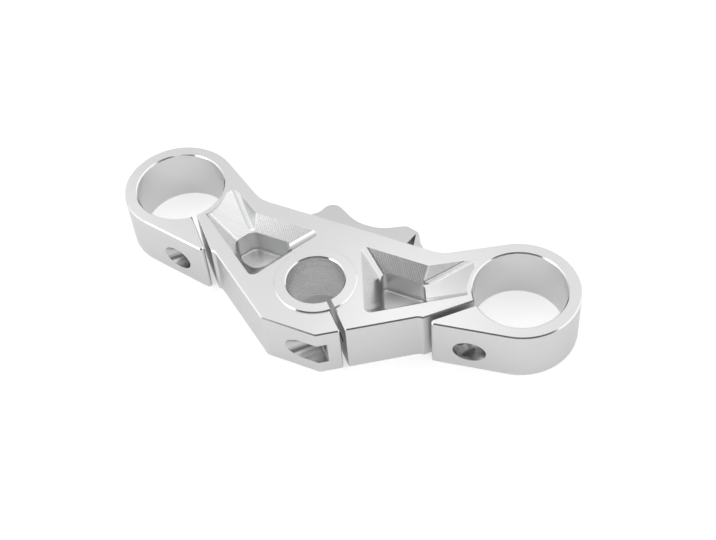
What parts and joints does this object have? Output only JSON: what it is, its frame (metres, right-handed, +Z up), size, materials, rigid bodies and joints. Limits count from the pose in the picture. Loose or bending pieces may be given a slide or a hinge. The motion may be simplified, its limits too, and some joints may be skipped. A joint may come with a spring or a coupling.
{
  "type": "motorcycle triple clamp",
  "caption": "Machined upper triple clamp: split fork bores at both ends, a split stem bore between two faceted windows, and a low ledge with horns at the front.",
  "frame": {"origin": "on the steering stem's axis, in the plane of the flat underside; the stem clamp's wall starts 0.7 mm above it, past the bore's broken rim", "axes": "+Z up along the stem; +X from one fork leg to the other, the longest way; +Y to the motorcycle's front, where both fork bores stand"},
  "size_m": [0.285, 0.112, 0.0355],
  "materials": {
    "billet_aluminium": "satin clear anodised, with milling marks in the windows"
  },
  "bodies": {
    "root": {"triple_clamp": "billet_aluminium"}
  },
  "joints": []
}
